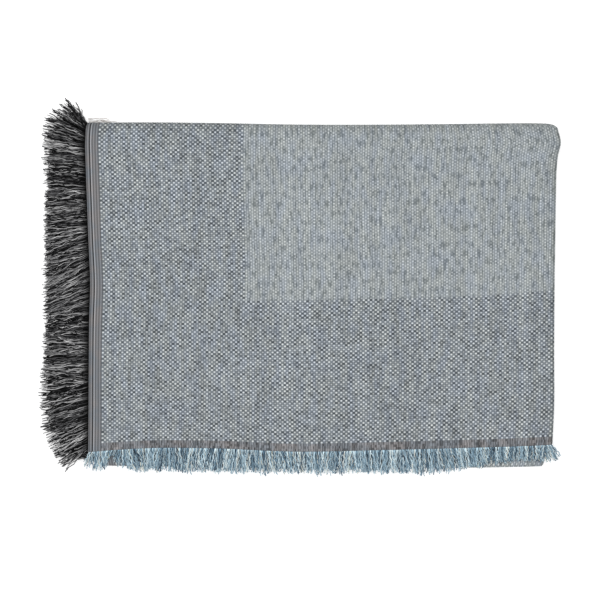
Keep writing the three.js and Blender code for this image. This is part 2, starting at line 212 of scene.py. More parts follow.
def cloth_place(a, b, lift):
    """Where a point of the flat sheet lies: a across it, b along it, lift off its middle on its face."""
    leg, share = leg_and_share(b)
    rounding = np.clip((a - PLY_LENGTH) / PLY_OFFSET, 0, math.pi)
    across = np.clip(np.minimum(a, CLOTH_WIDTH - a) / PLY_LENGTH, 0, 1)
    open_shift = smooth(EDGE_PLACES, EDGES.open * MM, b)
    fold_shift = smooth(EDGE_PLACES, EDGES.folded * MM, b)
    x = -FOLDED_WIDTH / 2 + (FOLDED_WIDTH - DOUBLED / 2) * across
    x = x + open_shift * (1 - across) ** 2 + fold_shift * across**4
    wander = YARN_WANDER * np.sin(b / (31 * MM) + 2 * np.sin(a / (43 * MM)))
    x = x + wander * np.minimum(1, 30 * across * (1 - across))
    on_top = (leg == 0) & (a < FOLDED_WIDTH)
    swell = 1.1 + np.sin(a / (52 * MM) + 1.3 * np.sin(b / (71 * MM))) * np.sin(b / (38 * MM) + 0.8)
    ease = np.minimum(1, 12 * across * (1 - across)) * np.minimum(1, 8 * share * (1 - share))
    lift = lift + np.where(on_top, TOP_SWELL * swell * ease, 0)
    offset = (PLY_OFFSET + lift) * np.cos(rounding)
    x = x + (PLY_OFFSET + lift) * np.sin(rounding)
    turned = LEGS.radius[leg] > 0
    angle = math.pi * share
    out_y = LEGS.side[leg] * np.sin(angle)
    out_z = LEGS.side[leg] * LEGS.bend[leg] * np.cos(angle)
    along_run = LEGS.heading[leg] * LEGS.length[leg] * share
    y = LEGS.y[leg] + np.where(turned, LEGS.radius[leg] * out_y, along_run)
    z = LEGS.z[leg] + LEGS.radius[leg] * out_z
    normal_y = LEGS.bend[leg] * out_y
    normal_z = np.where(turned, LEGS.bend[leg] * out_z, LEGS.heading[leg])
    y = y + normal_y * offset + fold_line_shift(leg, share, x)
    return np.stack([x + STACK_X, y + STACK_Y, z + normal_z * offset], axis=-1)


def weave_relief(a, b):
    """Height of the woven face over the sheet's even face: warps ride high where they pass over."""
    border_warp = (a - SIDE_HEADING) / BORDER_WARP
    panel_warp = (a - SIDE_BORDER) / PANEL_WARP + BORDER_WARPS
    warp = np.where(a < SIDE_BORDER, border_warp, panel_warp)
    in_panel = (a > SIDE_BORDER) & (b > END_BORDER)
    pick = np.where(in_panel, (b - END_BORDER) / PANEL_PICK, (b - END_HEADING) / BORDER_PICK)
    over = (np.floor(warp) + np.floor(pick)) % 2 == 0
    crown = 0.5 - 0.5 * np.cos(2 * math.pi * warp)
    height = np.where(in_panel, 0.34, 0.46) * MM
    woven = (crown * np.where(over, 1.0, 0.1) - 0.5) * height
    lines = np.exp(-(((a - PALE_LINE) / (0.9 * MM)) ** 2)) - np.exp(-(((a - DARK_LINE) / (0.8 * MM)) ** 2))
    ribs = 0.07 * MM * np.cos(2 * math.pi * (a - PALE_LINE) / SIDE_RIB)
    heading = np.where(a < SIDE_HEADING, 0.25 * MM * lines + ribs, 0)
    shown = np.clip((LEG_STARTS[2] - b) / (WIDE_TURN / 2), 0, 1)
    return shown * np.where((a < SIDE_HEADING) | (b < END_HEADING) | (a > PLY_LENGTH), heading, woven)


def spread(first, last, step):
    """Even places from first to last, about a step apart."""
    return np.linspace(first, last, max(2, math.ceil((last - first) / step) + 1))


def joined(*runs):
    """Runs of places end to end, each starting where the one before it stops."""
    return np.concatenate([runs[0], *(run[1:] for run in runs[1:])])


# The coarse net of the whole sheet: rounded hems at its edges, even cells, and closer rows round turns.
HEM = CLOTH_THICKNESS / 2
CELL = 24 * MM
hem = HEM * (1 - np.cos(np.linspace(0, math.pi / 2, 4)))
fold_start = PLY_LENGTH
fold_end = CLOTH_WIDTH - PLY_LENGTH
PATCH_RIM = 3 * MM
net_across = joined(
    hem,
    spread(HEM, fold_start, CELL),
    np.linspace(fold_start, fold_end, 9),
    np.array([fold_end, fold_end + PATCH_RIM]),
    spread(fold_end + PATCH_RIM, CLOTH_WIDTH - HEM, CELL),
    CLOTH_WIDTH - hem[::-1],
)
leg_rows = []
for number, leg in enumerate(LEGS):
    first = max(LEG_STARTS[number], HEM)
    last = min(LEG_STARTS[number + 1], CLOTH_LENGTH - HEM)
    leg_rows.append(spread(first, last, 2 * MM if leg.radius else CELL))
leg_rows[2] = np.insert(leg_rows[2], 1, leg_rows[2][0] + PATCH_RIM)
net_along = joined(hem, *leg_rows, CLOTH_LENGTH - hem[::-1])

flat_points = []
faces = []
face_areas = []


def add_points(a, b, lift):
    """Adds points of the flat sheet, and gives back their numbers."""
    first = sum(len(points) for points in flat_points)
    a, b, lift = np.broadcast_arrays(a, b, lift)
    flat_points.append(np.stack([a, b, lift], axis=-1).reshape(-1, 3))
    return first + np.arange(a.size).reshape(a.shape)


def add_faces(new_faces, area):
    """Adds faces that lie in one area of the bake map."""
    faces.extend(new_faces)
    face_areas.extend([area] * len(new_faces))


def net_faces(numbers, keep=None, flipped=False):
    """Four-sided faces of a net of point numbers, where keep allows."""
    cells = np.stack([numbers[:-1, :-1], numbers[:-1, 1:], numbers[1:, 1:], numbers[1:, :-1]], axis=-1)
    cells = cells.reshape(-1, 4) if keep is None else cells[keep]
    return (cells[:, ::-1] if flipped else cells).tolist()


def seam_faces(left, right, left_places, right_places):
    """Triangles between two lines of points that run the same way, the first on the left."""
    left_share = (left_places - left_places[0]) / (left_places[-1] - left_places[0])
    right_share = (right_places - right_places[0]) / (right_places[-1] - right_places[0])
    triangles = []
    i = 0
    j = 0
    while i + 1 < len(left) or j + 1 < len(right):
        if j + 1 == len(right) or (i + 1 < len(left) and left_share[i + 1] <= right_share[j + 1]):
            triangles.append((left[i], right[j], left[i + 1]))
            i += 1
        else:
            triangles.append((left[i], right[j], right[j + 1]))
            j += 1
    return triangles


TOP_AREA, UNDER_AREA, INNER_AREA = range(3)
across_grid, along_grid = np.meshgrid(net_across, net_along)
edge_distance = np.minimum(
    np.minimum(across_grid, CLOTH_WIDTH - across_grid), np.minimum(along_grid, CLOTH_LENGTH - along_grid)
)
half_thickness = np.sqrt(np.maximum(HEM**2 - np.maximum(HEM - edge_distance, 0) ** 2, 0))
outer = add_points(across_grid, along_grid, half_thickness)
inner = add_points(across_grid, along_grid, -half_thickness)
inner[[0, -1], :] = outer[[0, -1], :]
inner[:, [0, -1]] = outer[:, [0, -1]]
patch_columns = int(np.searchsorted(net_across, fold_end + PATCH_RIM - 1e-9))
patch_rows = int(np.searchsorted(net_along, LEG_STARTS[2] + PATCH_RIM - 1e-9))
keep = np.ones((len(net_along) - 1, len(net_across) - 1), bool)
keep[:patch_rows, :patch_columns] = False
under = np.zeros_like(keep)
under[patch_rows : int(np.searchsorted(net_along, LEG_STARTS[3])), :patch_columns] = True
add_faces(net_faces(outer, keep & ~under), INNER_AREA)
add_faces(net_faces(outer, keep & under), UNDER_AREA)
add_faces(net_faces(inner, flipped=True), INNER_AREA)

# The fine net of the top run's face and of the folds beside it: two points to a warp, one to a pick.
heading_columns = [1.1, 3, 5, DARK_LINE / MM, 7.3, PALE_LINE / MM, 9.3, 11.4, 13.5, 15.6, 17.6]
heading_columns = np.array(heading_columns) * MM
border_columns = SIDE_HEADING + BORDER_WARP * np.arange(0, BORDER_WARPS + 0.25, 0.5)
panel_columns = SIDE_BORDER + PANEL_WARP * np.arange(0.5, PANEL_WARPS + 0.25, 0.5)
fold_columns = np.linspace(fold_start, fold_end, 9)[1:]
left_columns = np.concatenate([heading_columns, border_columns])
right_columns = np.concatenate([panel_columns, fold_columns])
all_columns = np.concatenate([left_columns, right_columns])
heading_rows = np.array([1.1, 3.2, 5.3, 7.4, 9.5, END_HEADING / MM]) * MM
front_picks = END_HEADING + BORDER_PICK * (np.arange(BORDER_PICKS) + 0.5)
front_rows = np.concatenate([heading_rows, front_picks, [END_BORDER]])
turn_end = LEG_STARTS[2]
border_picks = np.arange(END_BORDER + BORDER_PICK / 2, turn_end - MM, BORDER_PICK)
border_rows = np.concatenate([border_picks, [turn_end]])
panel_picks = np.arange(END_BORDER + PANEL_PICK / 2, turn_end - MM, PANEL_PICK)
panel_rows = np.concatenate([panel_picks, [turn_end]])


def add_fine_points(columns, rows):
    """Adds a net of points on the woven face, and gives back their numbers."""
    a, b = np.meshgrid(columns, rows)
    return add_points(a, b, HEM + weave_relief(a, b))


front_net = add_fine_points(all_columns, front_rows)
left_net = np.vstack([front_net[-1:, : len(left_columns)], add_fine_points(left_columns, border_rows)])
panel_net = np.vstack([front_net[-1:, len(left_columns) :], add_fine_points(right_columns, panel_rows)])
border_rows = np.concatenate([[END_BORDER], border_rows])
panel_rows = np.concatenate([[END_BORDER], panel_rows])
for net in (front_net, left_net, panel_net):
    add_faces(net_faces(net), TOP_AREA)
add_faces(seam_faces(left_net[:, -1], panel_net[:, 0], border_rows, panel_rows), TOP_AREA)
rim_across = net_across[: patch_columns + 1]
rim_along = net_along[: patch_rows + 1]
patch_left = np.concatenate([front_net[:, 0], left_net[1:, 0]])
patch_right = np.concatenate([front_net[:, -1], panel_net[1:, -1]])
patch_back = np.concatenate([left_net[-1], panel_net[-1]])
left_along = np.concatenate([front_rows, border_rows[1:]])
right_along = np.concatenate([front_rows, panel_rows[1:]])
add_faces(seam_faces(outer[: patch_rows + 1, 0], patch_left, rim_along, left_along), TOP_AREA)
add_faces(seam_faces(patch_right, outer[: patch_rows + 1, patch_columns], right_along, rim_along), TOP_AREA)
add_faces(seam_faces(front_net[0], outer[0, : patch_columns + 1], all_columns, rim_across), TOP_AREA)
add_faces(seam_faces(outer[patch_rows, : patch_columns + 1], patch_back, rim_across, all_columns), TOP_AREA)

flat_points = np.concatenate(flat_points)


def mesh_piece(name, points, piece_faces):
    """A smooth-shaded piece of the throw from points and faces."""
    mesh = bpy.data.meshes.new(name)
    mesh.from_pydata(points.tolist(), [], piece_faces)
    mesh.shade_smooth()
    piece = bpy.data.objects.new(name, mesh)
    bpy.context.collection.objects.link(piece)
    return piece


used = np.zeros(len(flat_points), bool)
used[[number for face in faces for number in face]] = True
renumbered = np.cumsum(used) - 1
faces = [[int(renumbered[number]) for number in face] for face in faces]
flat_points = flat_points[used]
cloth = mesh_piece("woven_throw", cloth_place(*flat_points.T), faces)


def point_values(piece, name, kind, values):
    """Keeps a value for each point of a piece, for its material to read."""
    layer = piece.data.attributes.new(name, kind, "POINT")
    field = "vector" if kind == "FLOAT_VECTOR" else "value"
    layer.data.foreach_set(field, np.ravel(values).astype(np.float32))


point_values(cloth, "flat", "FLOAT_VECTOR", flat_points)

# The bake map gives the face on top most of the room, then the face underneath, and the rest a corner.
bake_map = cloth.data.uv_layers.new(name="OFBake")
loop_points = np.zeros(len(cloth.data.loops), int)
cloth.data.loops.foreach_get("vertex_index", loop_points)
loop_areas = np.repeat(face_areas, [len(face) for face in faces])
loop_flat = flat_points[loop_points]
patch_width = fold_end + PATCH_RIM
top_u = 0.005 + 0.99 * loop_flat[:, 0] / patch_width
top_v = 0.355 + 0.64 * loop_flat[:, 1] / (LEG_STARTS[2] + PATCH_RIM)
under_u = 0.005 + 0.5 * loop_flat[:, 0] / patch_width
under_v = 0.005 + 0.34 * (loop_flat[:, 1] - LEG_STARTS[2]) / LONG_RUN
inner_u = 0.52 + 0.47 * loop_flat[:, 0] / CLOTH_WIDTH
inner_v = 0.005 + 0.34 * loop_flat[:, 1] / CLOTH_LENGTH
bake_u = np.choose(loop_areas, [top_u, under_u, inner_u])
bake_v = np.choose(loop_areas, [top_v, under_v, inner_v])
bake_map.data.foreach_set("uv", np.stack([bake_u, bake_v], axis=-1).ravel().astype(np.float32))


class Signal:
    """An output of a material's node; operators on it add the Math nodes that work them out."""

    def __init__(self, material, socket):
        self.material = material
        self.socket = socket

    @classmethod
    def add(cls, material, kind, settings=None, sockets=None, output=0):
        """Adds a node of a kind: its settings first, then the values or links of its sockets."""
        tree = material.node_tree
        node = tree.nodes.new("ShaderNode" + kind)
        for name, value in (settings or {}).items():
            if name == "stops":
                for place, colour in value[1:-1]:
                    node.color_ramp.elements.new(place)
                for stop, (place, colour) in zip(node.color_ramp.elements, value):
                    stop.position = place
                    stop.color = colour
            else:
                setattr(node, name, value)
        for name, value in (sockets or {}).items():
            if isinstance(value, Signal):
                tree.links.new(value.socket, node.inputs[name])
            else:
                node.inputs[name].default_value = value
        return cls(material, node.outputs[output])

    def math(self, operation, other=0.0, first=None):
        sockets = {0: self if first is None else first, 1: other if first is None else self}
        return Signal.add(self.material, "Math", {"operation": operation}, sockets)

    def __add__(self, other):
        return self.math("ADD", other)

    def __radd__(self, other):
        return self.math("ADD", other)

    def __sub__(self, other):
        return self.math("SUBTRACT", other)

    def __rsub__(self, other):
        return self.math("SUBTRACT", first=other)

    def __mul__(self, other):
        return self.math("MULTIPLY", other)

    def __rmul__(self, other):
        return self.math("MULTIPLY", other)

    def __truediv__(self, other):
        return self.math("DIVIDE", other)

    def __mod__(self, other):
        return self.math("FLOORED_MODULO", other)

    def __lt__(self, other):
        return self.math("LESS_THAN", other)

    def __gt__(self, other):
        return self.math("GREATER_THAN", other)

    def __abs__(self):
        return self.math("ABSOLUTE")

    def __pow__(self, other):
        return self.math("POWER", other)

    def floor(self):
        return self.math("FLOOR")

    def fraction(self):
        return self.math("FRACT")

    def least(self, other):
        return self.math("MINIMUM", other)

    def most(self, other):
        return self.math("MAXIMUM", other)

    def bump(self, distance):
        """This signal as a height, turned into a surface normal."""
        sockets = {"Strength": 1.0, "Distance": distance, "Height": self}
        return Signal.add(self.material, "Bump", None, sockets)


def paint(red, green, blue):
    """A colour given as on a screen, 0 to 255, in Blender's own linear values."""
    shares = (value / 255 for value in (red, green, blue))
    linear = [s / 12.92 if s <= 0.04045 else ((s + 0.055) / 1.055) ** 2.4 for s in shares]
    return (*linear, 1.0)


def mixed(material, share, first, second, kind="MIX"):
    """Two colours mixed by a share of the second."""
    settings = {"data_type": "RGBA", "blend_type": kind, "clamp_result": False}
    return Signal.add(material, "Mix", settings, {0: share, 6: first, 7: second}, output=2)


def matt_yarn(name, roughness, sheen):
    """A material for matt yarn: its surface shader, and the material to build on."""
    material = bpy.data.materials.new(name)
    material.use_nodes = True
    surface = material.node_tree.nodes["Principled BSDF"]
    surface.inputs["Roughness"].default_value = roughness
    surface.inputs["Specular IOR Level"].default_value = 0.2
    surface.inputs["Sheen Weight"].default_value = sheen
    surface.inputs["Sheen Roughness"].default_value = 0.6
    return material, surface


def finish_with(material, surface, socket, signal):
    """Links a signal to a socket of a material's surface."""
    material.node_tree.links.new(signal.socket, surface.inputs[socket])


weave, weave_surface = matt_yarn("blue_grey_weave", 0.92, 0.08)
flat = Signal.add(weave, "Attribute", {"attribute_name": "flat"}, output=1)
flat_a = Signal.add(weave, "SeparateXYZ", None, {0: flat}, output=0)
flat_b = Signal.add(weave, "SeparateXYZ", None, {0: flat}, output=1)
from_side = FOLDED_WIDTH - abs(flat_a - FOLDED_WIDTH)
from_end = CLOTH_LENGTH / 2 - abs(flat_b - CLOTH_LENGTH / 2)
past_border = from_side > SIDE_BORDER
in_panel = past_border * (from_end > END_BORDER)
in_side_heading = from_side < SIDE_HEADING
in_end_heading = (from_end < END_HEADING) * (1 - in_side_heading)
border_warp = (from_side - SIDE_HEADING) / BORDER_WARP
panel_warp = (from_side - SIDE_BORDER) / PANEL_WARP + BORDER_WARPS
warp = border_warp + (panel_warp - border_warp) * past_border
border_pick = (from_end - END_HEADING) / BORDER_PICK
panel_pick = (from_end - END_BORDER) / PANEL_PICK
pick = border_pick + (panel_pick - border_pick) * in_panel
over = 1 - (warp.floor() + pick.floor()) % 2
off_warp = abs(warp.fraction() - 0.5) * 2
off_pick = abs(pick.fraction() - 0.5) * 2
warp_crown = (1 - off_warp**2).most(0)
pick_crown = (1 - off_pick**2).most(0)


def clouds(material, place, scale, detail=2.0):
    """Soft random clouds over a place, about 0 to 1, with that many to the metre."""
    return Signal.add(material, "TexNoise", None, {"Vector": place, "Scale": scale, "Detail": detail})


def shaded(material, colour, shade):
    """A colour made lighter or darker by a value."""
    return Signal.add(material, "VectorMath", {"operation": "SCALE"}, {0: colour, "Scale": shade})


# Each crossing of a warp and a pick has its own chance, and so has each warp along its whole length.
crossing = Signal.add(weave, "CombineXYZ", None, {0: warp.floor(), 1: pick.floor()})
crossing_chance = Signal.add(weave, "TexWhiteNoise", {"noise_dimensions": "2D"}, {"Vector": crossing})
warp_chance = Signal.add(weave, "TexWhiteNoise", {"noise_dimensions": "1D"}, {"W": warp.floor()})
fibre = clouds(weave, flat, 700)
streaks = Signal.add(weave, "CombineXYZ", None, {0: flat_a, 1: flat_b * 0.3})
bead = over * warp_crown * (0.3 + 0.7 * pick_crown)
prominence = 0.72 + 0.55 * clouds(weave, flat, 48, 3.0)
rough_bead = bead * prominence * (0.55 + 0.42 * crossing_chance + 0.5 * (fibre - 0.5))

BORDER_DARK_SPECK_AND_SHADE = paint(62, 68, 74)
BORDER_WEFT = paint(131, 138, 145)
BORDER_WARP_YARN = paint(232, 236, 238)
# The border's weft is partly its own random tone, with dark specks at some crossings, and partly painted
# shade: darker towards each pick's edges, between the yarns.
ground = (0.16 + 1.25 * crossing_chance).least(1.0) * (0.55 + 0.45 * pick_crown)
border_ground = mixed(weave, ground.least(1.0), BORDER_DARK_SPECK_AND_SHADE, BORDER_WEFT)
border_colour = mixed(weave, rough_bead.least(1.0), border_ground, BORDER_WARP_YARN)
PANEL_DARK_SPECK_AND_SHADE = paint(92, 100, 104)
PANEL_WEFT = paint(163, 169, 173)
PANEL_WARP_YARN = paint(226, 230, 232)
slubs = ((clouds(weave, streaks, 250, 2.0) - 0.52) * 6).most(0).least(0.62)
# The panel's weft has its own random tone and slubs, and painted shade: darker towards each warp's edges,
# between the yarns.
ground = (0.5 + 2.4 * crossing_chance).least(1.0) * (0.4 + 0.6 * warp_crown) * (1 - slubs)
panel_ground = mixed(weave, ground, PANEL_DARK_SPECK_AND_SHADE, PANEL_WEFT)
panel_bead = rough_bead * (0.62 + 0.34 * (warp.floor() % 2)) * (1 - slubs)
panel_colour = mixed(weave, panel_bead.least(1.0), panel_ground, PANEL_WARP_YARN)
woven_colour = mixed(weave, in_panel, border_colour, panel_colour)

# Space-dyed weft: lilac-blue patches in a green-grey ground, with slow changes of depth.
LILAC_BLUE = (0.93, 0.96, 1.01, 1.0)
GREEN_GREY = (1.03, 1.03, 0.99, 1.0)
patches = ((clouds(weave, streaks, 90, 3.0) - 0.5) * 4 + 0.4).most(0).least(1.0)
tinted = mixed(weave, patches, GREEN_GREY, LILAC_BLUE)
woven_colour = mixed(weave, 1.0, woven_colour, tinted, "MULTIPLY")
depth = 0.92 + 0.15 * warp_chance + 0.35 * (clouds(weave, streaks, 44, 3.0) - 0.5)
woven_colour = shaded(weave, woven_colour, depth)

# The headings: ribs along the side edges with one dark and one pale line, short ticks at the ends.
HEADING_COOL = paint(117, 122, 128)
HEADING_WARM = paint(128, 126, 127)
heading_tint = ((clouds(weave, flat, 40) - 0.5) * 4 + 0.5).most(0).least(1.0)
heading_colour = mixed(weave, heading_tint, HEADING_COOL, HEADING_WARM)
dark_line = (1 - abs(from_side - DARK_LINE) / (1.2 * MM)).most(0)
pale_line = (1 - abs(from_side - PALE_LINE) / (1.2 * MM)).most(0)
side_ribs = abs(((from_side - PALE_LINE) / SIDE_RIB + 0.5).fraction() - 0.5)
side_shade = 1.4 - 1.8 * side_ribs + 0.95 * pale_line - 0.85 * dark_line
tick = Signal.add(weave, "CombineXYZ", None, {0: (warp * 2).floor(), 1: (from_end / (3.9 * MM)).floor()})
tick_chance = Signal.add(weave, "TexWhiteNoise", {"noise_dimensions": "2D"}, {"Vector": tick})
# The end heading's ticks are its own random tone; its darkening towards each warp's edges is painted shade
# between the yarns.
end_shade = (0.26 + 0.98 * tick_chance + 0.5 * warp_chance) * (0.58 + 0.56 * warp_crown)
heading_shade = end_shade + (side_shade - end_shade) * in_side_heading
heading_colour = shaded(weave, heading_colour, heading_shade)
cloth_colour = mixed(weave, in_side_heading.most(in_end_heading), woven_colour, heading_colour)

# Painted shade: the cloth is darker and a little warmer where its face curves away over a fold.
PAINTED_FOLD_SHADE_COLOUR = (0.74, 0.73, 0.70, 1.0)
near_side_fold = (1 - abs(flat_a - FOLDED_WIDTH) / (8 * MM)).most(0)
near_back_fold = (1 - abs(flat_b - FIRST_RUN - 0.4 * WIDE_TURN) / (15 * MM)).most(0)
near_fold = near_side_fold.most(near_back_fold)
painted_fold_shading = mixed(weave, near_fold, (1.0, 1.0, 1.0, 1.0), PAINTED_FOLD_SHADE_COLOUR)
finish_with(weave, weave_surface, "Base Color", mixed(weave, 1.0, cloth_colour, painted_fold_shading, "MULTIPLY"))
yarn_height = bead * 0.8 + (1 - over) * pick_crown * 0.4 + 0.25 * fibre
finish_with(weave, weave_surface, "Normal", yarn_height.bump(0.5 * MM))
cloth.data.materials.append(weave)
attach(cloth, "root")
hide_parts("woven_cloth")


# The side fringes are the ends of the weft along both long edges, left loose and frayed: crinkled
# charcoal yarn, marled from black to light grey, that lies in locks. The first fold lays one fringe
# on the other, and both follow their edges through every fold.
SIDE_STRAND_PITCH = 1.15 * MM
SIDE_STRAND_RADIUS = 0.72 * MM
SIDE_LOCK_WIDTH = 9 * MM
SIDE_SAG = 0.4
LOWEST_PLY = STACK_MIDDLE - WIDE_RADIUS - PLY_OFFSET
STRAND_RINGS = 10
MAP_COLUMNS = 16


def locks_along(places, width, dice):
    """Gathers strands into locks of about a width: each strand's lock, and the locks' middles."""
    cuts = np.cumsum(width * dice.uniform(0.5, 1.6, int(2.5 * (places[-1] - places[0]) / width) + 4))
    lock = np.searchsorted(cuts, places - places[0])
    counts = np.maximum(np.bincount(lock), 1)
    return lock, np.bincount(lock, weights=places) / counts


def strand_tubes(roots, directions, reaches, drops, radius, crinkle, phases, dice):
    """Three-sided tubes that leave their roots level, crinkle, curl a little and sink by their drops."""
    count = len(roots)
    share = np.linspace(0, 1, STRAND_RINGS)
    sideways = np.stack([-directions[:, 1], directions[:, 0]], axis=-1)
    curl = dice.normal(0, 0.06, count)[:, None] * share**2
    waves = dice.uniform(1.6, 3.2, count)[:, None]
    turns = 2 * math.pi * waves * share
    wave = crinkle * np.sin(turns + phases[:, None]) * np.minimum(1, 4 * share)
    bent = curl * reaches[:, None] + wave
    forward = reaches[:, None] * share
    plan = roots[:, None, :2] + directions[:, None] * forward[..., None]
    plan = plan + sideways[:, None] * bent[..., None]
    lift = 0.8 * crinkle * np.sin(turns + phases[:, None] + 1.6) * np.minimum(1, 4 * share)
    height = roots[:, None, 2] - drops[:, None] * share + lift
    thickness = radius * dice.uniform(0.75, 1.3, count)[:, None] * (1 - 0.08 * share**4)
    height = np.maximum(height, thickness)
    spine = np.concatenate([plan, height[..., None]], axis=-1)
    tangent = np.gradient(spine, axis=1)
    tangent = tangent / np.linalg.norm(tangent, axis=-1, keepdims=True)
    beside = np.stack([-tangent[..., 1], tangent[..., 0], np.zeros_like(height)], axis=-1)
    beside = beside / np.linalg.norm(beside, axis=-1, keepdims=True)
    above = np.cross(tangent, beside)
    corners = []
    for turn in (math.pi / 2, math.pi * 7 / 6, math.pi * 11 / 6):
        corners.append(spine + thickness[..., None] * (math.cos(turn) * beside + math.sin(turn) * above))
    return np.stack(corners, axis=2)


def strand_faces(count):
    """Faces of that many three-sided tubes, closed at both ends."""
    rings = np.arange(STRAND_RINGS - 1)[:, None] * 3
    corner = np.arange(3)[None, :]
    after = (corner + 1) % 3
    walls = np.stack([rings + corner, rings + after, rings + 3 + after, rings + 3 + corner], axis=-1)
    walls = walls.reshape(-1, 4)
    last = (STRAND_RINGS - 1) * 3
    starts = (np.arange(count) * STRAND_RINGS * 3)[:, None, None]
    sides = (starts + walls[None]).reshape(-1, 4).tolist()
    ends = (starts + np.array([[2, 1, 0], [last, last + 1, last + 2]])[None]).reshape(-1, 3).tolist()
    return sides + ends


def strand_map(count):
    """Places of those faces in a bake map that gives each strand a cell: its walls, then its ends."""
    ring = np.arange(STRAND_RINGS - 1)[:, None, None] + np.array([0, 0, 1, 1])
    corner = np.arange(3)[None, :, None] + np.array([0, 1, 1, 0])
    ring, corner = np.broadcast_arrays(ring, corner)
    walls = np.stack([0.04 + 0.92 * ring / (STRAND_RINGS - 1), 0.1 + 0.8 * corner / 3], axis=-1)
    ends = np.array([(0.03, 0.1), (0.0, 0.5), (0.03, 0.9), (0.97, 0.1), (1.0, 0.5), (0.97, 0.9)])
    strand = np.arange(count)
    cell = np.stack([strand % MAP_COLUMNS, strand // MAP_COLUMNS], axis=-1)[:, None]
    cells = np.array([MAP_COLUMNS, math.ceil(count / MAP_COLUMNS)])
    wall_places = (cell + walls.reshape(-1, 2)) / cells
    end_places = (cell + ends) / cells
    return np.concatenate([wall_places.reshape(-1, 2), end_places.reshape(-1, 2)])


def fringe_piece(name, tubes, tones):
    """A fringe as one joined mesh, with each point's place along its strand and its strand's tone."""
    piece = mesh_piece(name, tubes.reshape(-1, 3), strand_faces(len(tubes)))
    strand_places = strand_map(len(tubes)).ravel().astype(np.float32)
    piece.data.uv_layers.new(name="OFBake").data.foreach_set("uv", strand_places)
    share = np.linspace(0, 1, STRAND_RINGS)
    point_values(piece, "along", "FLOAT", np.broadcast_to(share[None, :, None], tubes.shape[:3]))
    point_values(piece, "tone", "FLOAT", np.broadcast_to(tones[:, None, None], tubes.shape[:3]))
    return piece


charcoal, charcoal_surface = matt_yarn("charcoal_marl_yarn", 0.9, 0.0)
along = Signal.add(charcoal, "Attribute", {"attribute_name": "along"}, output=2)
tone = Signal.add(charcoal, "Attribute", {"attribute_name": "tone"}, output=2)
CHARCOAL_STOPS = [
    (0.0, paint(4, 4, 5)),
    (0.3, paint(31, 31, 33)),
    (0.55, paint(121, 121, 123)),
    (1.0, paint(238, 238, 238)),
]
strand_place = Signal.add(charcoal, "CombineXYZ", None, {0: along * 5, 1: tone * 311})
marl = clouds(charcoal, strand_place, 1.0)
mottled = tone * 0.86 + (marl - 0.5) * 1.05 + 0.06
charcoal_colour = Signal.add(charcoal, "ValToRGB", {"stops": CHARCOAL_STOPS}, {0: mottled})
# Painted shadow: each strand darkens towards its root, for the shade under and beside the cloth's edge.
painted_root_shadow = (along * 5).least(1.0) ** 1.4 * 0.97 + 0.03
charcoal_colour = shaded(charcoal, charcoal_colour, painted_root_shadow)
finish_with(charcoal, charcoal_surface, "Base Color", charcoal_colour)

for ply, seed in (("face", 11), ("back", 12)):
    dice = np.random.default_rng(seed)
    strand_b = spread(2 * MM, CLOTH_LENGTH - 2 * MM, SIDE_STRAND_PITCH)
    count = len(strand_b)
    strand_b = np.clip(strand_b + dice.normal(0, 0.35 * MM, count), 0, CLOTH_LENGTH)
    edge_a = 0.0 if ply == "face" else CLOTH_WIDTH
    roots = cloth_place(np.full(count, edge_a), strand_b, np.zeros(count))
    lock, lock_middles = locks_along(strand_b, SIDE_LOCK_WIDTH, dice)
    lock_lean = dice.normal(0, 4.5, len(lock_middles))
    lock_reach = dice.normal(1.0, 0.035, len(lock_middles))
    lock_tone = dice.normal(0, 0.03, len(lock_middles))
    lock_phase = dice.uniform(0, 2 * math.pi, len(lock_middles))
    gathering = np.degrees((lock_middles[lock] - strand_b) / (60 * MM))
    gathering = gathering * LEGS.heading[leg_and_share(strand_b)[0]]
    lean = smooth(EDGE_PLACES, EDGES.lean, strand_b) + lock_lean[lock]
    lean = np.radians(lean + dice.normal(0, 5, count) + 0.35 * gathering)
    reach = smooth(EDGE_PLACES, EDGES.reach * MM, strand_b) * lock_reach[lock]
    reach = reach * dice.triangular(0.84, 1.0, 1.04, count)
    direction = np.stack([-np.cos(lean), np.sin(lean)], axis=-1)
    drop = (roots[:, 2] - LOWEST_PLY) * SIDE_SAG * dice.uniform(0.7, 1.3, count)
    phases = lock_phase[lock] + dice.normal(0, 0.8, count)
    tubes = strand_tubes(roots, direction, reach, drop, SIDE_STRAND_RADIUS, 1.0 * MM, phases, dice)
    tones = np.clip(dice.beta(0.8, 1.15, count) + lock_tone[lock], 0, 1)
    fringe = fringe_piece("charcoal_fringe_" + ply, tubes, tones)
    fringe.data.materials.append(charcoal)
    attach(fringe, "root")
    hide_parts("side_fringe_" + ply)


# The loose threads are a few thin cream warp ends that have worked out of the edge at the back fold,
# where the side fringe starts, and trail along the fold on the floor.
THREAD_RADIUS = 0.4 * MM
THREAD_TRAIL = 38 * MM
cream, cream_surface = matt_yarn("cream_thread", 0.8, 0.1)
along = Signal.add(cream, "Attribute", {"attribute_name": "along"}, output=2)
cream_colour = mixed(cream, clouds(cream, along * 9, 1.0), paint(118, 109, 102), paint(214, 206, 198))
finish_with(cream, cream_surface, "Base Color", cream_colour)
dice = np.random.default_rng(31)
thread_count = 5
thread_b = FIRST_RUN + WIDE_TURN * np.linspace(0.45, 0.6, thread_count)
thread_roots = cloth_place(np.full(thread_count, 1 * MM), thread_b, np.zeros(thread_count))
thread_roots[:, 1] += np.linspace(7, 2, thread_count) * MM
thread_lean = np.radians(dice.uniform(-4, 8, thread_count))
thread_direction = np.stack([np.cos(thread_lean), np.sin(thread_lean)], axis=-1)
thread_reach = THREAD_TRAIL * dice.uniform(0.75, 1.1, thread_count)
